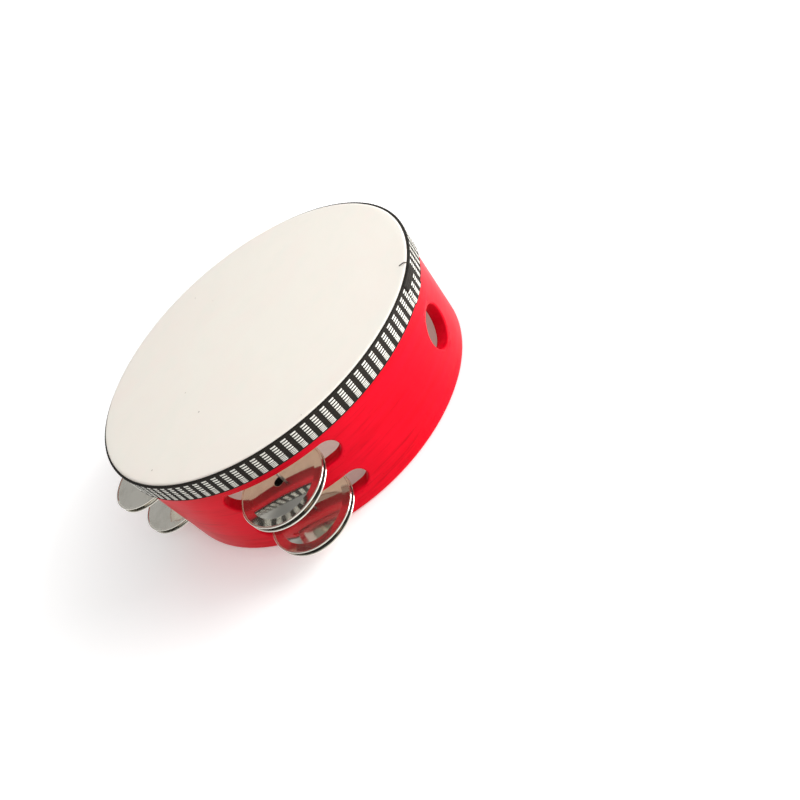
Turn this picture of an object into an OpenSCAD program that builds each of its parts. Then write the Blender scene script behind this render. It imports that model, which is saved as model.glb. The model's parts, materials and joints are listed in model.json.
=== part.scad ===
// Hand-held tambourine with a drumhead and two rows of paired metal jingles.
// It stands on the open edge of its hoop, head up: z = 0 is the resting face,
// the z axis is the axis of the hoop, and the thumb hole faces -Y.

/* [Shell] */
// Outer diameter of the wooden hoop
shell_d = 150; // [120:1:220]
// Height of the hoop, from the resting face to the edge under the head
shell_h = 49; // [49:1:64]
// Thickness of the hoop's wall
wall = 5.5; // [4.5:0.5:7]
// Radius that rounds the edges of the hoop
edge_r = 1.3; // [0.5:0.1:1.8]

/* [Jingle slots] */
// Height of one slot
slot_h = 9.8; // [9.8:0.1:11]
// Length of one slot, straight across the hoop
slot_len = 48; // [44:1:54]
// Height of the middle of each row of slots above the resting face
row_z = [31, 13]; // two values, at least slot_h + 4 apart
// Angle from the thumb hole to the nearest station, and on to the next one
station_step = 68; // [62:1:72]

/* [Thumb hole] */
// Radius of the thumb hole
thumb_r = 9; // [7:0.5:11]
// Height of the thumb hole's middle above the resting face
thumb_z = 22; // [18:1:28]

/* [Head and trim] */
// Thickness of the skin
skin_t = 0.35; // [0.2:0.05:0.6]
// Height of the skin's skirt, folded down outside the hoop
skirt_h = 9; // [6:0.5:10]
// Width of the woven trim ribbon
ribbon_w = 9.6; // [7:0.1:12]
// Thickness of the woven trim ribbon
ribbon_t = 0.8; // [0.5:0.1:1.2]
// Angle over which the ribbon's two ends lap
lap_angle = 9; // [4:1:14]

/* [Jingles] */
// Diameter of one jingle disc
jingle_d = 35; // [30:0.5:38]
// Thickness of the disc's metal
jingle_t = 0.4; // [0.3:0.1:0.6]
// Height of the disc's dome above its flange
dome_h = 1.5; // [1:0.1:2]
// Radius of the disc's dome, which its flange surrounds
dome_r = 13.8; // [11:0.1:14]
// Radius of the hole in the middle of the disc
hole_r = 2; // [1.4:0.1:2.6]
// Radius of the wire nail that carries the discs
pin_r = 0.5; // [0.4:0.1:0.6]
// Slide of each station's discs on their nail: outwards, and along the hoop
jingle_slip = [[-0.5, -0.5], [0.8, -1.15], [0.8, 1.15], [-0.5, 0.5]]; // each up to 1.4 in all
// Angle by which each station's top discs droop outwards
jingle_droop = [1, 3.5, 3.5, 1]; // each from 0 to 4

/* [Hidden] */
$fn = 96;
shell_r = shell_d / 2;
pin_rho = shell_r - wall / 2;
station_angles = [for (step = [-2, -1, 1, 2]) -90 + step * station_step];
station_count = len(station_angles);
row_names = ["upper", "lower"];
row_count = len(row_names);

// The nail that carries a station's discs
pin_head_r = 1.8;
pin_head_t = 0.6;
pin_foot_z = 4;
pin_clearance = 0.02;

// The profile of a disc, from its hole out to its rim
dome_sphere_r = (dome_r * dome_r + dome_h * dome_h) / (2 * dome_h);
dome_steps = 6;
bead_w = 1;
bead_h = 0.3;
disc_depth = jingle_t + dome_h;
rim_gap = 1.2;
floor_gap = 0.35;
extra_droop = 1.5;

// Clearances between the wrapped layers
layer_gap = 0.02;
skirt_r = shell_r + layer_gap;
ribbon_r = skirt_r + skin_t + layer_gap;
ribbon_top = shell_h + skin_t;
lap_t = 0.75;

function disc_node(station, row, side) =
    str("jingle_", station + 1, "_", row_names[row], "_", side);

// Points of a quarter circle of radius r about c, from angle a0 to a0 + 90
function corner(c, r, a0) =
    [for (i = [0 : 6]) [c[0] + r * cos(a0 + 15 * i), c[1] + r * sin(a0 + 15 * i)]];

// Cross-section of the hoop: square at the head, rounded at the open edge
module shell_profile() {
    inner = shell_r - wall;
    polygon(concat(
        corner([inner + edge_r, edge_r], edge_r, 180),
        corner([shell_r - edge_r, edge_r], edge_r, 270),
        [[shell_r, shell_h], [inner, shell_h]]
    ));
}

// A slot with round ends, cut straight through the wall that faces +X
module slot_cut() {
    depth = 3 * wall;
    end_y = slot_len / 2 - slot_h / 2;
    translate([shell_r - 2 * wall, 0, 0]) {
        translate([0, -end_y, -slot_h / 2]) cube([depth, 2 * end_y, slot_h]);
        for (side = [-1, 1])
            translate([0, side * end_y, 0])
                rotate([0, 90, 0])
                    cylinder(h = depth, r = slot_h / 2);
    }
}

// The hole for a station's nail, with the seat for its head
module pin_hole() {
    r = pin_r + pin_clearance;
    translate([pin_rho, 0, pin_foot_z - pin_clearance])
        cylinder(h = shell_h, r = r, $fn = 32);
    translate([pin_rho, 0, shell_h - pin_head_t])
        cylinder(h = 2 * pin_head_t, r = pin_head_r + pin_clearance, $fn = 32);
}

// The bent wooden hoop
module shell() {
    color("red")
    difference() {
        rotate_extrude() shell_profile();
        for (a = station_angles)
            rotate([0, 0, a]) {
                for (z = row_z) translate([0, 0, z]) slot_cut();
                pin_hole();
            }
        rotate([0, 0, -90])
            translate([shell_r - 2 * wall, 0, thumb_z])
                rotate([0, 90, 0])
                    cylinder(h = 3 * wall, r = thumb_r);
    }
}

// The skin: a flat disc over the hoop with a skirt folded down outside it
module drumhead() {
    outer = skirt_r + skin_t;
    color("antiquewhite")
    rotate_extrude()
        polygon(concat(
            [[0, shell_h], [skirt_r, shell_h], [skirt_r, shell_h - skirt_h], [outer, shell_h - skirt_h]],
            corner([outer - skin_t, shell_h], skin_t, 0),
            [[0, shell_h + skin_t]]
        ));
}

// The woven ribbon that hides the skirt; its two ends lap above the thumb hole
module trim_ribbon() {
    outer = ribbon_r + ribbon_t;
    color("black")
    union() {
        rotate_extrude()
            translate([ribbon_r, ribbon_top - ribbon_w]) square([ribbon_t, ribbon_w]);
        rotate([0, 0, -90 - lap_angle / 2])
            rotate_extrude(angle = lap_angle)
                translate([outer - ribbon_t / 2, ribbon_top - ribbon_w])
                    square([lap_t + ribbon_t / 2, ribbon_w]);
    }
}

// One wire nail, driven down through the hoop from the edge under the head
module jingle_pin(angle) {
    color("silver")
    rotate([0, 0, angle])
        translate([pin_rho, 0, 0]) {
            translate([0, 0, pin_foot_z]) cylinder(h = shell_h - pin_foot_z, r = pin_r, $fn = 32);
            translate([0, 0, shell_h - pin_head_t]) cylinder(h = pin_head_t, r = pin_head_r, $fn = 32);
        }
}

// Height of the dome's upper face above the flange's, at radius r
function dome_z(r) = dome_h - dome_sphere_r + sqrt(dome_sphere_r * dome_sphere_r - r * r);

// Upper face of a disc that lies rim down: [radius, height] from its hole to its flange
function disc_outline() = concat(
    [for (i = [0 : dome_steps])
        let (r = hole_r + (dome_r - hole_r) * i / dome_steps)
        [r, jingle_t + dome_z(r)]],
    [[jingle_d / 2 - bead_w, jingle_t]]
);

// One stamped disc, rim down with the rim's foot at z = 0
module disc() {
    outer = jingle_d / 2;
    top = disc_outline();
    under = [for (i = [len(top) - 1 : -1 : 0]) [top[i][0], top[i][1] - jingle_t]];
    rotate_extrude()
        polygon(concat(
            top,
            [[outer - bead_w / 2, jingle_t + bead_h], [outer, jingle_t + bead_h / 2], [outer, 0]],
            under
        ));
}

// A pair of discs lies rim to rim on the floor of its slot: the bottom one dome down.
// Both have slid on their nail and droop outwards, the bottom one a little more.
module jingle(station, row, side) {
    slip = jingle_slip[station];
    rim_z = row_z[row] - slot_h / 2 + floor_gap + disc_depth;
    color("gainsboro")
    rotate([0, 0, station_angles[station]])
        translate([pin_rho + slip[0], slip[1], rim_z])
            if (side == "top")
                translate([0, 0, rim_gap])
                    rotate([0, jingle_droop[station], 0]) disc();
            else
                rotate([0, jingle_droop[station] + extra_droop, 0])
                    mirror([0, 0, 1]) disc();
}

shell();
drumhead();
trim_ribbon();
for (s = [0 : station_count - 1]) {
    jingle_pin(station_angles[s]);
    for (r = [0 : row_count - 1], side = ["bottom", "top"])
        jingle(s, r, side);
}
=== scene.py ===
"""A hand-held tambourine: red hoop, skin head, woven trim ribbon and paired nickel jingles."""
import json
import math
import random

import bmesh
import bpy
from mathutils import Matrix, Vector


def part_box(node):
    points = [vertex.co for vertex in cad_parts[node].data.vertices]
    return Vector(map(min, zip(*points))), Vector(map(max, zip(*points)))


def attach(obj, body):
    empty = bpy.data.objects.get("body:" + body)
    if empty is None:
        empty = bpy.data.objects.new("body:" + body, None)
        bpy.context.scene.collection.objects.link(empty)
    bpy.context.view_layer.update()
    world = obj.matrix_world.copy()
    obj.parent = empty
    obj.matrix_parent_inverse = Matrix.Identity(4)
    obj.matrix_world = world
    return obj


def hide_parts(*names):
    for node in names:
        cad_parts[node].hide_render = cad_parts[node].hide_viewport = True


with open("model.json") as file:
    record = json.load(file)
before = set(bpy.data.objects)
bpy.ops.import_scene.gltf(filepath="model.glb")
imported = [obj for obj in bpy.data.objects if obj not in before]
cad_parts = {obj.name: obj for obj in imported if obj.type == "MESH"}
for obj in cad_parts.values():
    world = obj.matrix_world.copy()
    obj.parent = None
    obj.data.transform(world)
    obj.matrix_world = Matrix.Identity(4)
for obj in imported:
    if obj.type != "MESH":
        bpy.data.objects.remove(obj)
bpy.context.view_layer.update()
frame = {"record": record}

MM = 0.001

# ---------------------------------------------------------------- places read from the frame

shell_low, shell_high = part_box("shell")
head_low, head_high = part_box("drumhead")
ribbon_low, ribbon_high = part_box("trim_ribbon")
mounts = {m["name"]: m for m in frame["record"]["mounts"]}
thumb = mounts["thumb_hole"]

HOOP_R = (shell_high.x - shell_low.x) / 2
HOOP_H = shell_high.z
WALL = thumb["dims"]["length_mm"] * MM
THUMB_R = thumb["dims"]["r_mm"] * MM
THUMB_Z = thumb["pos_m"][2]
THUMB_ANGLE = math.atan2(thumb["pos_m"][1], thumb["pos_m"][0])
HEAD_TOP = head_high.z
HEAD_R = (head_high.x - head_low.x) / 2
RIBBON_R = (ribbon_high.x - ribbon_low.x) / 2
RIBBON_TOP = ribbon_high.z - 0.1 * MM
RIBBON_BOTTOM = ribbon_low.z
STATIONS = (1, 2, 3, 4)
ROWS = ("upper", "lower")
SIDES = ("bottom", "top")


def node_centre(node):
    """Middle of a CAD node's box."""
    low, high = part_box(node)
    return (low + high) / 2


def station_angle(station):
    """Direction from the hoop's axis to a station's nail."""
    middle = node_centre(f"jingle_pin_{station}")
    return math.atan2(middle.y, middle.x)


# ---------------------------------------------------------------- sizes of the looks

# Slots, their lips and the edges of the hoop
SLOT_H = 9.8 * MM
SLOT_LEN = 48 * MM
SLOT_MIDDLES = (31 * MM, 13 * MM)
LIP_R = 0.9 * MM
LIP_STEPS = 7
SLOT_ARC_STEPS = 14
SLOT_STRAIGHT_STEPS = 24
CUTTER_REACH = 1.5 * MM
OPEN_EDGE_R = 1.5 * MM
HEAD_EDGE_R = 0.6 * MM
HOOP_SEGMENTS = 540
HOOP_STEP = 1.6 * MM

# The skin, its skirt and the low waves in its face
SKIN_T = HEAD_TOP - HOOP_H
SKIRT_H = 9 * MM
HEAD_SEGMENTS = 288
HEAD_STEP = 1.5 * MM
SAG_H = 0.035 * MM
FLAT_RIM = 2 * MM
SAG_WAVES = 5
SAG_FADE = 12 * MM
WELD_DISTANCE = 0.002 * MM

# The weave: a period is a white cell and a black one, and the bars are its rows from the top down, with
# their pitches in millimetres. The halves, the edge and the float's end are shares of half a bar's pitch.
WEAVE_PERIODS = 115
CELL_COLUMNS = 8
PERIOD_COLUMNS = 2 * CELL_COLUMNS
BAR_PITCHES = (1.14,) * 5 + (0.62,) * 4
THICK_BARS = 5
THICK_WHITE_HALF = 0.55
THIN_WHITE_HALF = 0.64
BAR_EDGE = 0.96
FLOAT_END = 0.9
FLOAT_ROUNDING = 0.12
TOP_BORDER = 0.90 * MM
TOP_BORDER_ROWS = (0.0, 0.2 * MM, 0.6 * MM)
LAST_BORDER = 0.25 * MM
WHITE_RELIEF = 0.30 * MM
BLACK_RELIEF = 0.20 * MM
BORDER_RELIEF = 0.05 * MM
SCALLOP_H = 0.10 * MM
CELL_STAND = (0.86, 1.0)

# The ribbon on the hoop: its upper edge is lowest at SLACK_ANGLE
LAYER_GAP = 0.02 * MM
RIBBON_SLACK = 0.68 * MM
SLACK_ANGLE = math.radians(75)
LAP_PERIODS = 3
LAP_BORDER_BARS = 2
LAP_END_COLUMNS = 3
LAP_END_LIFT = 0.35
LAP_SINK = 0.12 * MM
LAP_T = 0.65 * MM

# The cords along its edges, and a loose end of thread that runs in over the skin
CORD_SIDES = 10
CORD_STEPS = 12
CORD_TWIST = 0.16
HEAD_CORD_R = 0.40 * MM
HEAD_CORD_DOWN = 0.46 * MM
HEAD_CORD_IN = 0.32 * MM
HOOP_CORD_R = 0.22 * MM
LOOSE_R = 0.18 * MM
LOOSE_LEN = 3.2 * MM
LOOSE_BEND = 0.25 * MM
LOOSE_LIFT = 0.3 * MM
LOOSE_STEPS = 8
LOOSE_SHARE = 0.55

# Jingle discs
DISC_R = 17.5 * MM
DISC_HOLE_R = 2.0 * MM
DOME_R = 13.8 * MM
DOME_H = 1.5 * MM
DOME_STEPS = 18
METAL_T = 0.38 * MM
FLANGE_Z = 0.40 * MM
BEAD_W = 0.75 * MM
BEAD_H = 0.72 * MM
BEAD_R = 0.34 * MM
DISC_SEGMENTS = 160
DENTS = 4

# Degrees by which each station's top discs droop outwards, and how much more the bottom ones do
DROOPS = {1: 1.0, 2: 3.5, 3: 3.5, 4: 1.0}
EXTRA_DROOP = 1.5

# Wire nails
NAIL_R = 0.5 * MM
NAIL_HEAD_T = 0.6 * MM
NAIL_POINT_H = 1.6 * MM
NAIL_CLEARANCE = 0.1 * MM
NAIL_SEGMENTS = 32
NAIL_HOLE_SIDES = 24

# Seeds, and the end of the range, about a full turn, that directions are drawn from
HEAD_SEED = 5
RIBBON_SEED = 11
LAP_SEED = 12
DISC_SEED = 100
DRAWN_TURN = 6.28

# ---------------------------------------------------------------- mesh helpers


def shade_smooth(mesh):
    """Shades every face of a mesh smoothly."""
    mesh.polygons.foreach_set("use_smooth", [True] * len(mesh.polygons))


def add_mesh(name, verts, faces, materials, face_slots=None):
    """A smooth mesh object whose faces all look outwards."""
    mesh = bpy.data.meshes.new(name)
    mesh.from_pydata([tuple(v) for v in verts], [], faces)
    for material in materials:
        mesh.materials.append(material)
    if face_slots is not None:
        mesh.polygons.foreach_set("material_index", face_slots)
    obj = bpy.data.objects.new(name, mesh)
    bpy.context.scene.collection.objects.link(obj)
    edit = bmesh.new()
    edit.from_mesh(mesh)
    bmesh.ops.recalc_face_normals(edit, faces=edit.faces)
    edit.to_mesh(mesh)
    edit.free()
    shade_smooth(mesh)
    mesh.update()
    return obj


def rounded(corners, steps=6, closed=True):
    """A path through corners given as (x, y, radius), each corner replaced by an arc."""
    nearly_straight = math.pi / 2 - 0.01
    path = []
    count = len(corners)
    for i, (x, y, radius) in enumerate(corners):
        here = Vector((x, y))
        at_end = not closed and i in (0, count - 1)
        if radius <= 0 or at_end:
            path.append(here)
            continue
        before = Vector(corners[i - 1][:2]) - here
        after = Vector(corners[(i + 1) % count][:2]) - here
        half = before.angle(after) / 2
        if half > nearly_straight:
            path.append(here)
            continue
        before.normalize()
        after.normalize()
        middle = here + (before + after).normalized() * radius / math.sin(half)
        first = here + before * radius / math.tan(half) - middle
        last = here + after * radius / math.tan(half) - middle
        for k in range(steps + 1):
            path.append(middle + first.normalized().slerp(last.normalized(), k / steps) * radius)
    return path


def split_long(path, longest, closed=True):
    """The same path with no stretch longer than longest."""
    result = []
    count = len(path)
    for i, here in enumerate(path):
        result.append(here)
        if not closed and i == count - 1:
            break
        there = path[(i + 1) % count]
        pieces = max(1, math.ceil((there - here).length / longest))
        for k in range(1, pieces):
            result.append(here.lerp(there, k / pieces))
    return result


def band_faces(rings, ring_size, closed=True):
    """Quads that join each ring of vertices to the next, and where closed the last to the first."""
    faces = []
    for i in range(rings if closed else rings - 1):
        after = (i + 1) % rings
        for j in range(ring_size):
            k = (j + 1) % ring_size
            faces.append((i * ring_size + j, after * ring_size + j, after * ring_size + k, i * ring_size + k))
    return faces


def revolve(profile, segments, warp=None):
    """Vertices and faces of a closed (radius, height) loop turned once round +Z."""
    verts = []
    for i in range(segments):
        angle = 2 * math.pi * i / segments
        for r, z in profile:
            if warp is not None:
                r, z = warp(r, z, angle)
            verts.append((r * math.cos(angle), r * math.sin(angle), z))
    return verts, band_faces(segments, len(profile))


def tube(points, radius, sides):
    """Vertices and faces of a closed-ended tube along points."""
    verts = []
    count = len(points)
    for i, point in enumerate(points):
        ahead = points[min(i + 1, count - 1)] - points[max(i - 1, 0)]
        turn = ahead.to_track_quat("Z", "Y")
        for k in range(sides):
            a = 2 * math.pi * k / sides
            verts.append(point + turn @ Vector((radius * math.cos(a), radius * math.sin(a), 0)))
    faces = band_faces(count, sides, closed=False)
    faces.append(tuple(range(sides)))
    faces.append(tuple((count - 1) * sides + k for k in range(sides)))
    return verts, faces


# ---------------------------------------------------------------- material helpers


def new_material(name):
    """A material with its node tree and its principled shader."""
    material = bpy.data.materials.new(name)
    material.use_nodes = True
    tree = material.node_tree
    return material, tree, tree.nodes["Principled BSDF"]


def link(tree, source, target):
    """Joins an output socket to an input socket."""
    tree.links.new(source, target)


def set_inputs(node, values):
    """Sets a node's input sockets from a table of name to number, colour or output socket."""
    for name, value in values.items():
        socket = node.inputs[name]
        if isinstance(value, bpy.types.NodeSocket):
            node.id_data.links.new(value, socket)
        else:
            socket.default_value = value


def add_node(tree, kind, inputs):
    """A new node with its input sockets set."""
    node = tree.nodes.new(kind)
    set_inputs(node, inputs)
    return node


def noise(tree, vector, scale, detail, roughness=0.55, distortion=0.0):
    """Noise from 0 to 1 over coordinates."""
    node = add_node(tree, "ShaderNodeTexNoise", {
        "Vector": vector,
        "Scale": scale,
        "Detail": detail,
        "Roughness": roughness,
        "Distortion": distortion,
    })
    return node.outputs["Fac"]


def ramp(tree, factor, *stops):
    """A colour ramp with stops given as (place, colour)."""
    node = tree.nodes.new("ShaderNodeValToRGB")
    while len(node.color_ramp.elements) < len(stops):
        node.color_ramp.elements.new(0.5)
    for element, (place, colour) in zip(node.color_ramp.elements, stops):
        element.position = place
        element.color = (*colour, 1.0)
    link(tree, factor, node.inputs["Fac"])
    return node.outputs["Color"]


def grey(value):
    """A grey as a colour."""
    return (value, value, value)


def mix(tree, factor, first, second, blend="MIX"):
    """Blend two colours; factor is a number or a socket."""
    node = tree.nodes.new("ShaderNodeMix")
    node.data_type = "RGBA"
    node.blend_type = blend
    for socket, value in ((node.inputs[0], factor), (node.inputs[6], first), (node.inputs[7], second)):
        if isinstance(value, bpy.types.NodeSocket):
            link(tree, value, socket)
        elif isinstance(value, tuple):
            socket.default_value = (*value, 1.0)
        else:
            socket.default_value = value
    return node.outputs[2]


def mask(tree, factor, low, high, strength=1.0):
    """A grey that rises from 0, where the factor is low, to strength, where it is high."""
    return ramp(tree, factor, (low, grey(0.0)), (high, grey(strength)))


def tint(tree, base, colour, pattern, low, high, strength=1.0):
    """The base with a colour laid over it where a pattern is high."""
    return mix(tree, mask(tree, pattern, low, high, strength), base, colour)


def math_node(tree, operation, first, second=None):
    """One operation on one or two values, each a number or a socket."""
    node = tree.nodes.new("ShaderNodeMath")
    node.operation = operation
    set_inputs(node, {0: first} if second is None else {0: first, 1: second})
    return node.outputs[0]


def map_range(tree, value, source, target):
    """A value carried from one range, given as (low, high), to another."""
    node = add_node(tree, "ShaderNodeMapRange", {
        "Value": value,
        "From Min": source[0],
        "From Max": source[1],
        "To Min": target[0],
        "To Max": target[1],
    })
    return node.outputs["Result"]


def bump(tree, height, strength, distance, normal=None):
    """A normal tilted by a height, on top of another bump's normal if one is given."""
    node = add_node(tree, "ShaderNodeBump", {"Height": height, "Strength": strength, "Distance": distance})
    if normal is not None:
        link(tree, normal, node.inputs["Normal"])
    return node.outputs["Normal"]


def object_point(tree):
    """Object coordinates, in metres."""
    return tree.nodes.new("ShaderNodeTexCoord").outputs["Object"]


def scaled_point(tree, x, y, z):
    """Object coordinates stretched by a factor along each axis."""
    node = add_node(tree, "ShaderNodeMapping", {"Vector": object_point(tree), "Scale": (x, y, z)})
    return node.outputs["Vector"]


def separate(tree, vector):
    """The X, Y and Z of a vector."""
    node = add_node(tree, "ShaderNodeSeparateXYZ", {0: vector})
    return node.outputs["X"], node.outputs["Y"], node.outputs["Z"]


def axis_distance(tree, x, y):
    """Distance from the hoop's axis."""
    squares = (math_node(tree, "MULTIPLY", x, x), math_node(tree, "MULTIPLY", y, y))
    return math_node(tree, "SQRT", math_node(tree, "ADD", *squares))


def unrolled_point(tree, along, up, across):
    """Coordinates of the hoop laid flat: along its length, up its height and through its wall."""
    x, y, z = separate(tree, object_point(tree))
    joined = add_node(tree, "ShaderNodeCombineXYZ", {
        "X": math_node(tree, "MULTIPLY", math_node(tree, "ARCTAN2", x, y), HOOP_R * along),
        "Y": math_node(tree, "MULTIPLY", z, up),
        "Z": math_node(tree, "MULTIPLY", axis_distance(tree, x, y), across),
    })
    return joined.outputs[0]


# ---------------------------------------------------------------- materials

RED_DULL = (0.56, 0.0, 0.009)
RED_BRIGHT = (0.65, 0.001, 0.015)
RED_GRAIN = (0.38, 0.0, 0.006)
RED_CLOUD = (0.70, 0.004, 0.018)
RED_SPECK = (0.38, 0.0, 0.004)
PRICK_BROWN = (0.30, 0.24, 0.18)
PRICK_SIZE = 0.055
# Colour of the glow painted on the skin's back: painted light in place of light coming through the skin
SKIN_PAINTED_GLOW = (1.0, 0.86, 0.70, 1.0)
NICKEL_CLEAN = (0.75, 0.73, 0.66)
NICKEL_SMUDGED = (0.64, 0.62, 0.55)
NICKEL_PIT = (0.30, 0.26, 0.22)
STEEL_DARK = (0.34, 0.31, 0.27)
STEEL_PALE = (0.62, 0.58, 0.52)
WHITE = (1.0, 1.0, 1.0)

# Glow of the floor, painted light that washes out its shadows, as (share of GLOW_REACH from the hoop's axis,
# strength)
GLOW_REACH = 0.5
FLOOR_PAINTED_GLOW = ((0.13, 0.08), (0.16, 0.24), (0.30, 0.42), (0.8, 0.60))


def red_lacquer():
    """Red lacquer, brushed over bent wood whose grain runs round the hoop."""
    material, tree, shader = new_material("red_lacquer")
    place = object_point(tree)
    grain_place = unrolled_point(tree, along=55.0, up=900.0, across=500.0)
    stroke_place = unrolled_point(tree, along=22.0, up=260.0, across=160.0)
    grain = noise(tree, grain_place, 1.0, detail=6.0, roughness=0.65, distortion=0.4)
    strokes = noise(tree, stroke_place, 1.0, detail=3.0)
    cloud = noise(tree, place, 38.0, detail=3.0)
    specks = noise(tree, place, 420.0, detail=1.0)
    base = ramp(tree, strokes, (0.3, RED_DULL), (0.7, RED_BRIGHT))
    base = tint(tree, base, RED_GRAIN, grain, 0.52, 0.68, strength=0.65)
    base = tint(tree, base, RED_CLOUD, cloud, 0.45, 0.75, strength=0.3)
    base = tint(tree, base, RED_SPECK, specks, 0.76, 0.80, strength=0.5)
    fine = bump(tree, grain, strength=0.22, distance=0.00010)
    waves = bump(tree, strokes, strength=0.35, distance=0.00022, normal=fine)
    set_inputs(shader, {
        "Base Color": base,
        "Roughness": map_range(tree, cloud, (0.3, 0.7), (0.30, 0.42)),
        "Coat Weight": 0.02,
        "Coat Roughness": 0.12,
        "Specular IOR Level": 0.06,
        "Normal": bump(tree, cloud, strength=0.5, distance=0.00030, normal=waves),
    })
    return material


def skin(name, pale, warm, cool, roughness, painted_glow=0.0):
    """Thin mottled skin: warm and cool clouds, faint fibres, a few pin-prick marks, any painted-light glow.
    """
    material, tree, shader = new_material(name)
    place = object_point(tree)
    cloud = noise(tree, place, 26.0, detail=5.0, roughness=0.6, distortion=0.6)
    patch = noise(tree, scaled_point(tree, 1.0, 1.25, 1.0), 58.0, detail=4.0, roughness=0.6)
    fibre = noise(tree, scaled_point(tree, 260.0, 900.0, 260.0), 1.0, detail=4.0, distortion=1.2)
    base = tint(tree, pale, warm, cloud, 0.40, 0.68)
    base = tint(tree, base, cool, patch, 0.50, 0.74, strength=0.9)
    base = tint(tree, base, cool, fibre, 0.60, 0.80, strength=0.25)
    marks = add_node(tree, "ShaderNodeTexVoronoi", {"Vector": place, "Scale": 150.0, "Randomness": 1.0})
    chosen = noise(tree, place, 75.0, detail=1.0)
    near_mark = math_node(tree, "LESS_THAN", marks.outputs["Distance"], PRICK_SIZE)
    prick = math_node(tree, "MULTIPLY", near_mark, math_node(tree, "GREATER_THAN", chosen, 0.66))
    base = mix(tree, math_node(tree, "MULTIPLY", prick, 0.6), base, PRICK_BROWN)
    fine = bump(tree, fibre, strength=0.15, distance=0.00006)
    set_inputs(shader, {
        "Base Color": base,
        "Roughness": roughness,
        "Specular IOR Level": 0.28,
        "Subsurface Weight": 0.5,
        "Subsurface Radius": (1.0, 0.95, 0.9),
        "Subsurface Scale": 0.0005,
        # Painted light: a glow that lights the skin without any lamp
        "Emission Color": SKIN_PAINTED_GLOW,
        "Emission Strength": painted_glow,
        "Normal": bump(tree, cloud, strength=0.25, distance=0.00025, normal=fine),
    })
    return material


def thread(name, colour, shade, roughness, sheen):
    """Spun thread: fine strands along the ribbon, with a little fuzz and uneven dye."""
    material, tree, shader = new_material(name)
    strand_place = unrolled_point(tree, along=900.0, up=7000.0, across=5000.0)
    strands = noise(tree, strand_place, 1.0, detail=2.0)
    uneven = noise(tree, object_point(tree), 700.0, detail=2.0)
    base = tint(tree, shade, colour, strands, 0.35, 0.65)
    set_inputs(shader, {
        "Base Color": tint(tree, base, shade, uneven, 0.55, 0.8, strength=0.5),
        "Roughness": roughness,
        "Sheen Weight": sheen,
        "Sheen Roughness": 0.5,
        "Specular IOR Level": 0.3,
        "Normal": bump(tree, strands, strength=0.6, distance=0.00008),
    })
    return material


def nickel():
    """Nickel plate over stamped steel: mirror bright, with fine scratches, smudges and pits."""
    material, tree, shader = new_material("nickel_plate")
    place = object_point(tree)
    smudge = noise(tree, place, 130.0, detail=4.0, roughness=0.6)
    scratch = noise(tree, scaled_point(tree, 4200.0, 320.0, 600.0), 1.0, detail=3.0, distortion=0.8)
    pits = noise(tree, place, 1500.0, detail=1.0)
    base = tint(tree, NICKEL_CLEAN, NICKEL_SMUDGED, smudge, 0.45, 0.75)
    fine = bump(tree, scratch, strength=0.06, distance=0.00004)
    set_inputs(shader, {
        "Base Color": tint(tree, base, NICKEL_PIT, pits, 0.74, 0.80, strength=0.8),
        "Metallic": 0.96,
        "Roughness": map_range(tree, smudge, (0.35, 0.75), (0.05, 0.16)),
        "Normal": bump(tree, smudge, strength=0.10, distance=0.00012, normal=fine),
    })
    return material


def drawn_wire():
    """Steel wire with lines along it from drawing, a little dull."""
    material, tree, shader = new_material("drawn_wire")
    lines = noise(tree, scaled_point(tree, 9000.0, 9000.0, 250.0), 1.0, detail=3.0)
    set_inputs(shader, {
        "Base Color": ramp(tree, lines, (0.3, STEEL_DARK), (0.7, STEEL_PALE)),
        "Metallic": 1.0,
        "Roughness": map_range(tree, lines, (0.3, 0.7), (0.25, 0.45)),
        "Normal": bump(tree, lines, strength=0.3, distance=0.00005),
    })
    return material


def pale_floor():
    """A pale matt floor that glows a little with painted light, more so away from the drum."""
    material, tree, shader = new_material("pale_floor")
    cloud = noise(tree, object_point(tree), 3.0, detail=2.0)
    x, y, _ = separate(tree, object_point(tree))
    away = map_range(tree, axis_distance(tree, x, y), (0.0, GLOW_REACH), (0.0, 1.0))
    set_inputs(shader, {
        "Base Color": ramp(tree, cloud, (0.3, grey(0.90)), (0.7, grey(0.92))),
        "Roughness": 1.0,
        "Specular IOR Level": 0.0,
        "Emission Color": (*WHITE, 1.0),
        "Emission Strength": ramp(tree, away, *[(share, grey(painted_glow)) for share, painted_glow in FLOOR_PAINTED_GLOW]),
    })
    return material
RED = red_lacquer()
SKIN_FACE = skin("skin_face", (0.95, 0.89, 0.80), (0.96, 0.865, 0.785), (0.92, 0.88, 0.79), 0.55)
# The skin's back is a darker tan and glows: painted light that lights the inside of the hoop
SKIN_BACK = skin("skin_back", (0.88, 0.80, 0.68), (0.88, 0.76, 0.66), (0.82, 0.76, 0.64), 0.65, painted_glow=0.26)
WHITE_THREAD = thread("white_thread", (0.80, 0.79, 0.73), (0.60, 0.59, 0.53), 0.6, 0.1)
BLACK_THREAD = thread("black_thread", (0.015, 0.011, 0.007), (0.006, 0.005, 0.003), 0.85, 0.01)
NICKEL = nickel()
WIRE = drawn_wire()

# ---------------------------------------------------------------- the hoop


def cutter_rings():
    """(offset, distance from the hoop's axis) of each ring of a cutter, whose mouths flare into lips."""
    inner = HOOP_R - WALL
    turns = [math.pi / 2 * k / LIP_STEPS for k in range(LIP_STEPS + 1)]
    lip = [(LIP_R * (1 - math.sin(turn)), LIP_R * (1 - math.cos(turn))) for turn in turns]
    outside = [(offset, HOOP_R - depth) for offset, depth in lip]
    inside = [(offset, inner + depth) for offset, depth in reversed(lip)]
    return [(LIP_R, HOOP_R + CUTTER_REACH)] + outside + inside + [(LIP_R, inner - CUTTER_REACH)]


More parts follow.
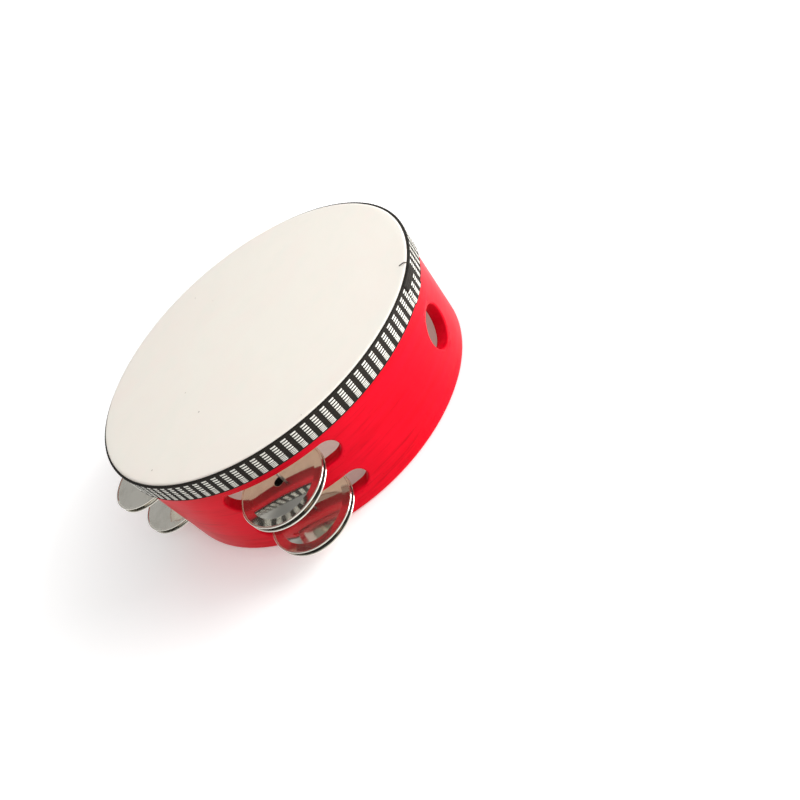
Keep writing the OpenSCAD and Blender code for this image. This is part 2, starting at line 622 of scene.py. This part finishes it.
def stadium(half_height, half_straight):
    """Upper outline of a slot with round ends, from its -Y end to its +Y end."""
    outline = []
    for k in range(SLOT_ARC_STEPS + 1):
        a = math.pi - math.pi / 2 * k / SLOT_ARC_STEPS
        outline.append((-half_straight + half_height * math.cos(a), half_height * math.sin(a)))
    if half_straight > 0:
        for k in range(1, SLOT_STRAIGHT_STEPS):
            outline.append((-half_straight + 2 * half_straight * k / SLOT_STRAIGHT_STEPS, half_height))
    for k in range(0 if half_straight > 0 else 1, SLOT_ARC_STEPS + 1):
        a = math.pi / 2 - math.pi / 2 * k / SLOT_ARC_STEPS
        outline.append((half_straight + half_height * math.cos(a), half_height * math.sin(a)))
    return outline


def wall_cutter(half_height, half_straight, z, angle):
    """A closed cutter through the wall at an angle, for a slot or a round hole."""
    verts = []
    turn = Matrix.Rotation(angle, 4, "Z")
    rings = cutter_rings()
    for offset, rho in rings:
        upper = stadium(half_height + offset, half_straight)
        for y, h in upper + [(y, -h) for y, h in reversed(upper[1:-1])]:
            verts.append(turn @ Vector((math.sqrt(rho * rho - y * y), y, z + h)))
    ring_size = len(verts) // len(rings)
    faces = band_faces(len(rings), ring_size, closed=False)
    last = ring_size // 2
    for base in (0, (len(rings) - 1) * ring_size):
        for k in range(last):
            low_here = base + (ring_size - k) % ring_size
            low_next = base + ring_size - k - 1
            if k == 0:
                faces.append((base, base + 1, low_next))
            elif k == last - 1:
                faces.append((base + k, base + last, low_here))
            else:
                faces.append((base + k, base + k + 1, low_next, low_here))
    return verts, faces


def nail_cutter(station):
    """A round hole down through the hoop for a nail."""
    middle = node_centre(f"jingle_pin_{station}")
    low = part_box(f"jingle_pin_{station}")[0]
    foot = Vector((middle.x, middle.y, low.z - 0.05 * MM))
    top = Vector((middle.x, middle.y, HOOP_H + 1 * MM))
    return tube([foot, top], NAIL_R + NAIL_CLEARANCE, NAIL_HOLE_SIDES)


def cut(target, cutters):
    """Takes closed cutter meshes away from the target."""
    verts, faces = [], []
    for part_verts, part_faces in cutters:
        start = len(verts)
        verts += part_verts
        faces += [tuple(start + i for i in face) for face in part_faces]
    tool = add_mesh("cutter", verts, faces, target.data.materials[:])
    modifier = target.modifiers.new("cut", "BOOLEAN")
    modifier.object = tool
    modifier.operation = "DIFFERENCE"
    modifier.solver = "EXACT"
    bpy.context.view_layer.objects.active = target
    bpy.ops.object.modifier_apply(modifier=modifier.name)
    bpy.data.objects.remove(tool)


def make_hoop():
    """The bent wooden hoop with its slots, its thumb hole and its nail holes."""
    inner = HOOP_R - WALL
    corners = [
        (inner, 0.0, OPEN_EDGE_R),
        (HOOP_R, 0.0, OPEN_EDGE_R),
        (HOOP_R, HOOP_H, HEAD_EDGE_R),
        (inner, HOOP_H, HEAD_EDGE_R),
    ]
    verts, faces = revolve(split_long(rounded(corners, steps=8), HOOP_STEP), HOOP_SEGMENTS)
    hoop = add_mesh("bent_hoop", verts, faces, [RED])
    cutters = [wall_cutter(THUMB_R, 0.0, THUMB_Z, THUMB_ANGLE)]
    for station in STATIONS:
        for z in SLOT_MIDDLES:
            cutters.append(wall_cutter(SLOT_H / 2, (SLOT_LEN - SLOT_H) / 2, z, station_angle(station)))
    cut(hoop, cutters)
    cut(hoop, [nail_cutter(station) for station in STATIONS])
    shade_smooth(hoop.data)
    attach(hoop, "hoop")
    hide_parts("shell")


# ---------------------------------------------------------------- the head


def make_head():
    """The skin: a flat round face that turns down over the hoop's edge into a skirt."""
    skirt_end = HEAD_TOP - SKIRT_H
    under_r = HEAD_R - SKIN_T
    face = [(0.0, HEAD_TOP, 0), (HEAD_R, HEAD_TOP, HEAD_EDGE_R + SKIN_T), (HEAD_R, skirt_end, 0)]
    back = [(under_r, skirt_end, 0), (under_r, HOOP_H, HEAD_EDGE_R), (0.0, HOOP_H, 0)]
    face = split_long(rounded(face, 8, closed=False), HEAD_STEP, closed=False)
    back = split_long(rounded(back, 8, closed=False), HEAD_STEP, closed=False)
    draw = random.Random(HEAD_SEED)
    waves = []
    for _ in range(SAG_WAVES):
        waves.append((draw.uniform(0.4, 1.0), draw.randint(2, 9), draw.uniform(0, DRAWN_TURN)))

    def sag(r, z, angle):
        """A skin is never quite flat: broad low waves that die out at its rim."""
        near_rim = min(1.0, max(0.0, (HEAD_R - FLAT_RIM - r) / SAG_FADE))
        wave = 0
        for size, turns, start in waves:
            wave += size * math.cos(turns * angle + start) * (r / HEAD_R) ** turns
        return r, z + SAG_H * wave * near_rim

    verts, faces = revolve(face + back, HEAD_SEGMENTS, sag)
    slots = ([0] * len(face) + [1] * len(back)) * HEAD_SEGMENTS
    head = add_mesh("skin_head", verts, faces, [SKIN_FACE, SKIN_BACK], slots)
    edit = bmesh.new()
    edit.from_mesh(head.data)
    bmesh.ops.remove_doubles(edit, verts=edit.verts, dist=WELD_DISTANCE)
    edit.to_mesh(head.data)
    edit.free()
    shade_smooth(head.data)
    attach(head, "hoop")
    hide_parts("drumhead")


# ---------------------------------------------------------------- the woven ribbon


def white_half(bar):
    """Half the width of a bar's white part, as a share of half its pitch."""
    return THICK_WHITE_HALF if bar < THICK_BARS else THIN_WHITE_HALF


def weave_rows():
    """(height below the ribbon's top edge, bar number or None, place across the bar from -1 to 1)."""
    rows = [(down, None, 0.0) for down in TOP_BORDER_ROWS]
    down = TOP_BORDER
    for bar, pitch in enumerate(BAR_PITCHES):
        half = white_half(bar)
        for across in (-BAR_EDGE, -half, 0.0, half, BAR_EDGE):
            rows.append((down + pitch * MM * (across + 1) / 2, bar, across))
        down += pitch * MM
    height = RIBBON_TOP - RIBBON_BOTTOM
    rows += [(height - LAST_BORDER, None, 0.0), (height, None, 0.0)]
    return rows


def ribbon_height(angle, down):
    """Height of a row of the ribbon, whose upper edge was stuck on lower at one side than at the other."""
    slack = RIBBON_SLACK * (0.5 + 0.5 * math.cos(angle - SLACK_ANGLE))
    full = RIBBON_TOP - RIBBON_BOTTOM
    return RIBBON_BOTTOM + (full - down) * (full - slack) / full


def weave_relief(rows, seed):
    """A function of column and row that gives how far the weave stands out, cell by cell."""
    draw = random.Random(seed)
    stand = {}

    def relief(column, row):
        """Rounded floats in the bars, and scallops along the borders."""
        _, bar, across = rows[row]
        period, inside = divmod(column, PERIOD_COLUMNS)
        if bar is None:
            scallop = 0.5 + 0.5 * math.cos(2 * math.pi * inside / PERIOD_COLUMNS * 2)
            return BORDER_RELIEF + SCALLOP_H * scallop * (1 if 0 < row < len(rows) - 1 else -1)
        in_white = inside < CELL_COLUMNS
        cell = (period, in_white, bar)
        if cell not in stand:
            stand[cell] = draw.uniform(*CELL_STAND)
        along = 2 * ((inside % CELL_COLUMNS) + 0.5) / CELL_COLUMNS - 1
        round_along = math.sqrt(max(0.0, 1 - abs(along) ** 5))
        edge = white_half(bar) + FLOAT_ROUNDING
        round_across = math.sqrt(max(0.04, 1 - abs(across / edge) ** 3))
        return (WHITE_RELIEF if in_white else BLACK_RELIEF) * stand[cell] * round_along * round_across

    return relief


def weave_slots(rows, columns, first_white_bar):
    """Material slot of each face of a strip: 0 on the white floats and 1 on the black thread."""
    slots = []
    for column in range(columns):
        white_column = column % PERIOD_COLUMNS < CELL_COLUMNS
        for (_, bar, across), (_, next_bar, next_across) in zip(rows, rows[1:]):
            in_bar = bar is not None and bar == next_bar and bar >= first_white_bar
            in_float = max(abs(across), abs(next_across)) < FLOAT_END
            slots.append(0 if white_column and in_bar and in_float else 1)
        slots += [1, 1, 1]
    return slots


def woven_strip(name, first_angle, periods, back_r, front_r, whole_ring, seed):
    """A ribbon on the hoop: cells of white and black warp floats in rows, between black borders."""
    columns = periods * PERIOD_COLUMNS
    rings = columns if whole_ring else columns + 1
    rows = weave_rows()
    relief = weave_relief(rows, seed)
    body_r = front_r - WHITE_RELIEF
    step = 2 * math.pi / WEAVE_PERIODS / PERIOD_COLUMNS
    verts = []
    for i in range(rings):
        angle = first_angle + step * i
        lift = 1.0
        if not whole_ring:
            from_end = min(i, columns - i) / LAP_END_COLUMNS
            lift = min(1.0, LAP_END_LIFT + (1 - LAP_END_LIFT) * math.sqrt(min(1.0, from_end)))
        outline = []
        for j, (down, _, _) in enumerate(rows):
            outline.append((back_r + (body_r + relief(i, j) - back_r) * lift, down))
        outline += [(back_r, rows[-1][0]), (back_r, rows[0][0])]
        for r, down in outline:
            verts.append((r * math.cos(angle), r * math.sin(angle), ribbon_height(angle, down)))
    ring_size = len(rows) + 2
    faces = band_faces(rings, ring_size, closed=whole_ring)
    slots = weave_slots(rows, columns, 0 if whole_ring else LAP_BORDER_BARS)
    if not whole_ring:
        faces.append(tuple(range(ring_size)))
        faces.append(tuple(columns * ring_size + k for k in range(ring_size)))
        slots += [1, 1]
    strip = add_mesh(name, verts, faces, [WHITE_THREAD, BLACK_THREAD], slots)
    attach(strip, "hoop")
    return strip


def edge_cord(name, down, radius, major):
    """A twisted black cord along one edge of the ribbon."""
    segments = WEAVE_PERIODS * CORD_STEPS
    verts = []
    for i in range(segments):
        angle = 2 * math.pi * i / segments
        twist = WEAVE_PERIODS * angle
        z = ribbon_height(angle, down)
        for k in range(CORD_SIDES):
            a = 2 * math.pi * k / CORD_SIDES
            bulge = radius * (1 + CORD_TWIST * math.cos(2 * (a - twist)))
            r = major + bulge * math.cos(a)
            verts.append((r * math.cos(angle), r * math.sin(angle), z + bulge * math.sin(a)))
    cord = add_mesh(name, verts, band_faces(segments, CORD_SIDES), [BLACK_THREAD])
    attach(cord, "hoop")


def loose_thread(angle):
    """A short end of thread that lies on the skin beside the lap."""
    out = Vector((math.cos(angle), math.sin(angle), 0))
    side = Vector((-out.y, out.x, 0))
    points = []
    for k in range(LOOSE_STEPS + 1):
        t = k / LOOSE_STEPS
        height = 0.19 * MM + LOOSE_LIFT * math.sin(math.pi * t) * (1 - t)
        rho = HEAD_R + 0.2 * MM - LOOSE_LEN * t
        sideways = LOOSE_BEND * math.sin(4.0 * t)
        points.append(out * rho + side * sideways + Vector((0, 0, HEAD_TOP + height)))
    verts, faces = tube(points, LOOSE_R, 8)
    end = add_mesh("loose_thread", verts, faces, [BLACK_THREAD])
    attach(end, "hoop")


def make_ribbon():
    """The trim ribbon, its edge cords, the lap over the thumb hole and a loose end of thread."""
    ribbon = woven_strip("woven_ribbon", THUMB_ANGLE, WEAVE_PERIODS, HEAD_R + LAYER_GAP, RIBBON_R,
                         True, RIBBON_SEED)
    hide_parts("trim_ribbon")
    height = RIBBON_TOP - RIBBON_BOTTOM
    edge_cord("ribbon_head_cord", HEAD_CORD_DOWN, HEAD_CORD_R, RIBBON_R - HEAD_CORD_IN)
    edge_cord("ribbon_hoop_cord", height - HOOP_CORD_R, HOOP_CORD_R, RIBBON_R - HOOP_CORD_R)
    lap_angle = 2 * math.pi * LAP_PERIODS / WEAVE_PERIODS
    woven_strip("ribbon_lap", THUMB_ANGLE - lap_angle / 2, LAP_PERIODS, RIBBON_R - LAP_SINK, RIBBON_R + LAP_T,
                False, LAP_SEED)
    loose_thread(THUMB_ANGLE + lap_angle * LOOSE_SHARE)


# ---------------------------------------------------------------- jingles and nails


def disc_profile():
    """Closed outline of a disc that lies rim down: a broad dome, a flat flange and a rolled bead."""
    sphere = (DOME_R * DOME_R + DOME_H * DOME_H) / (2 * DOME_H)
    dome_end = DOME_R - 0.9 * MM
    bead_in = DISC_R - BEAD_W

    def dome_z(r):
        """Height of the dome's upper face."""
        return FLANGE_Z + DOME_H - sphere + math.sqrt(sphere * sphere - r * r)

    upper = []
    for k in range(DOME_STEPS + 1):
        r = DISC_HOLE_R + (dome_end - DISC_HOLE_R) * k / DOME_STEPS
        upper.append((r, dome_z(r), 0.12 * MM if k == 0 else 0))
    upper.append((DOME_R, FLANGE_Z, 0.7 * MM))
    upper.append((bead_in, FLANGE_Z, 0.10 * MM))
    under = [(r, z - METAL_T, radius) for r, z, radius in reversed(upper[:-1])]
    bead = [
        (bead_in, BEAD_H, BEAD_R),
        (DISC_R, BEAD_H, BEAD_R),
        (DISC_R, 0.0, BEAD_R),
        (bead_in, 0.0, 0.30 * MM),
        (bead_in - 0.1 * MM, FLANGE_Z - METAL_T, 0.0),
    ]
    return rounded(upper + bead + under, steps=5)


def disc_warp(draw):
    """A function that puts a disc a little out of true and dents it, as stamped ones are."""
    ripples = [(draw.uniform(-0.04, 0.04) * MM, draw.uniform(0, DRAWN_TURN), turns) for turns in (2, 3, 5)]
    dents = []
    for _ in range(DENTS):
        at_r = draw.uniform(4, 12) * MM
        at_angle = draw.uniform(0, DRAWN_TURN)
        depth = draw.uniform(0.02, 0.05) * MM
        spread = draw.uniform(1.5, 3.0) * MM
        dents.append((at_r, at_angle, depth, spread))

    def warp(r, z, angle):
        """A point of the profile with its height changed."""
        for size, start, turns in ripples:
            z += size * math.cos(turns * angle + start) * (r / DISC_R) ** 2
        for at_r, at_angle, depth, spread in dents:
            dx = r * math.cos(angle) - at_r * math.cos(at_angle)
            dy = r * math.sin(angle) - at_r * math.sin(at_angle)
            z -= depth * math.exp(-(dx * dx + dy * dy) / (spread * spread))
        return r, z

    return warp


def make_disc(station, row, side, number):
    """One jingle disc where its node lies."""
    node = f"jingle_{station}_{row}_{side}"
    low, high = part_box(node)
    draw = random.Random(DISC_SEED + number)
    verts, faces = revolve(disc_profile(), DISC_SEGMENTS, disc_warp(draw))
    middle = (low + high) / 2
    droop = math.radians(DROOPS[station] + (EXTRA_DROOP if side == "bottom" else 0.0))
    fall = DISC_R * math.sin(droop)
    height = low.z + fall if side == "top" else high.z - fall
    outwards = Matrix.Rotation(station_angle(station), 4, "Z") @ Matrix.Rotation(droop, 4, "Y")
    place = Matrix.Translation((middle.x, middle.y, height)) @ outwards
    if side == "bottom":
        place = place @ Matrix.Diagonal((1, 1, -1, 1))
    place = place @ Matrix.Rotation(draw.uniform(0, DRAWN_TURN), 4, "Z")
    verts = [place @ Vector(v) for v in verts]
    disc = add_mesh(node.replace("jingle", "disc"), verts, faces, [NICKEL])
    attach(disc, node)
    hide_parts(node)


def make_nail(station):
    """A wire nail: a flat head under the skin, a long shank and a cut point."""
    node = f"jingle_pin_{station}"
    low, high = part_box(node)
    head_r = (high.x - low.x) / 2
    length = high.z - low.z
    corners = [
        (0.02 * MM, length, 0),
        (head_r, length, 0.12 * MM),
        (head_r, length - NAIL_HEAD_T, 0.12 * MM),
        (NAIL_R, length - NAIL_HEAD_T, 0.15 * MM),
        (NAIL_R, NAIL_POINT_H, 0.2 * MM),
        (0.02 * MM, 0.1 * MM, 0),
    ]
    verts, faces = revolve(split_long(rounded(corners, 4), 1.5 * MM), NAIL_SEGMENTS)
    middle = (low + high) / 2
    verts = [Vector(v) + Vector((middle.x, middle.y, low.z)) for v in verts]
    nail = add_mesh(f"wire_nail_{station}", verts, faces, [WIRE])
    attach(nail, "hoop")
    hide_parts(node)


# ---------------------------------------------------------------- the studio

CAMERA_PLACE = Vector((-0.1886, -0.1825, 0.1799))
CAMERA_HEADING = math.radians(52.53)
CAMERA_DIP = math.radians(39.06)
CAMERA_ROLL = math.radians(-39.18)
CAMERA_LENS = 31.08
CAMERA_SENSOR = 36
CAMERA_NEAREST = 0.01
FLOOR_HALF = 30.0

# The key light: its direction as shares of the camera's right, up and back, then metres, metres and watts
KEY_DIRECTION = (0.9, 0.9, 0.5)
KEY_DISTANCE = 0.9
KEY_SIZE = 0.55
KEY_POWER = 10.6

# The world: dimmer to the camera's left, and high up crossed by darker cards that metal can mirror
WORLD_STRENGTH = 1.23
WORLD_LEFT = 0.38
WORLD_SIDES = (-0.8, 0.5)
WORLD_WHITE = (1.0, 0.995, 0.985)
WORLD_DARK = 0.45
CARD_SCALE = 1.9
CARD_HEIGHTS = (0.35, 0.6)
HORIZON = 0.05


def camera_axes():
    """Right, up and forward of the camera, which is rolled because the drum in view leans."""
    forward = Vector((
        math.sin(CAMERA_HEADING) * math.cos(CAMERA_DIP),
        math.cos(CAMERA_HEADING) * math.cos(CAMERA_DIP),
        -math.sin(CAMERA_DIP),
    ))
    level = forward.cross(Vector((0, 0, 1))).normalized()
    over = level.cross(forward)
    right = level * math.cos(CAMERA_ROLL) + over * math.sin(CAMERA_ROLL)
    up = over * math.cos(CAMERA_ROLL) - level * math.sin(CAMERA_ROLL)
    return right, up, forward


def make_camera():
    """The camera from which the object is seen at rest."""
    right, up, forward = camera_axes()
    data = bpy.data.cameras.new("camera")
    data.lens = CAMERA_LENS
    data.sensor_width = CAMERA_SENSOR
    data.clip_start = CAMERA_NEAREST
    camera = bpy.data.objects.new("camera", data)
    turn = Matrix((right, up, -forward)).transposed().to_4x4()
    camera.matrix_world = Matrix.Translation(CAMERA_PLACE) @ turn
    bpy.context.scene.collection.objects.link(camera)
    bpy.context.scene.camera = camera


def make_key_light():
    """A square softbox placed by the camera's axes and aimed at the drum."""
    right, up, forward = camera_axes()
    right_share, up_share, back_share = KEY_DIRECTION
    direction = (right * right_share + up * up_share - forward * back_share).normalized()
    data = bpy.data.lights.new("key_softbox", "AREA")
    data.shape = "SQUARE"
    data.size = KEY_SIZE
    data.energy = KEY_POWER
    light = bpy.data.objects.new("key_softbox", data)
    light.location = Vector((0, 0, HOOP_H / 2)) + direction * KEY_DISTANCE
    light.rotation_euler = (-direction).to_track_quat("-Z", "Y").to_euler()
    bpy.context.scene.collection.objects.link(light)


def make_floor():
    """The floor that the object stands on."""
    signs = ((-1, -1), (1, -1), (1, 1), (-1, 1))
    corners = [(x * FLOOR_HALF, y * FLOOR_HALF, 0) for x, y in signs]
    floor = add_mesh("floor", corners, [(0, 1, 2, 3)], [pale_floor()])


def make_world():
    """White surroundings with a dim side and dark cards, so that shiny pieces have something to show."""
    world = bpy.data.worlds.new("studio")
    world.use_nodes = True
    tree = world.node_tree
    direction = tree.nodes.new("ShaderNodeTexCoord").outputs["Generated"]
    across = add_node(tree, "ShaderNodeVectorMath", {0: direction, 1: camera_axes()[0]})
    across.operation = "DOT_PRODUCT"
    side_light = map_range(tree, across.outputs["Value"], WORLD_SIDES, (WORLD_LEFT, 1.0))
    height = separate(tree, direction)[2]
    pattern = noise(tree, direction, CARD_SCALE, detail=0.5)
    cards = ramp(tree, pattern, (0.40, grey(WORLD_DARK)), (0.50, WORLD_WHITE))
    cards = mix(tree, map_range(tree, height, CARD_HEIGHTS, (0.0, 1.0)), WORLD_WHITE, cards)
    upper = mix(tree, 1.0, cards, side_light, "MULTIPLY")
    near_floor = math_node(tree, "LESS_THAN", height, HORIZON)
    set_inputs(tree.nodes["Background"], {
        "Color": mix(tree, near_floor, upper, WHITE),
        "Strength": WORLD_STRENGTH,
    })
    bpy.context.scene.world = world


make_camera()
make_hoop()
make_head()
make_ribbon()
disc_number = 0
for station_number in STATIONS:
    make_nail(station_number)
    for row_name in ROWS:
        for side_name in SIDES:
            make_disc(station_number, row_name, side_name, disc_number)
            disc_number += 1
make_floor()
make_world()
make_key_light()
bpy.context.scene.view_settings.view_transform = "Standard"
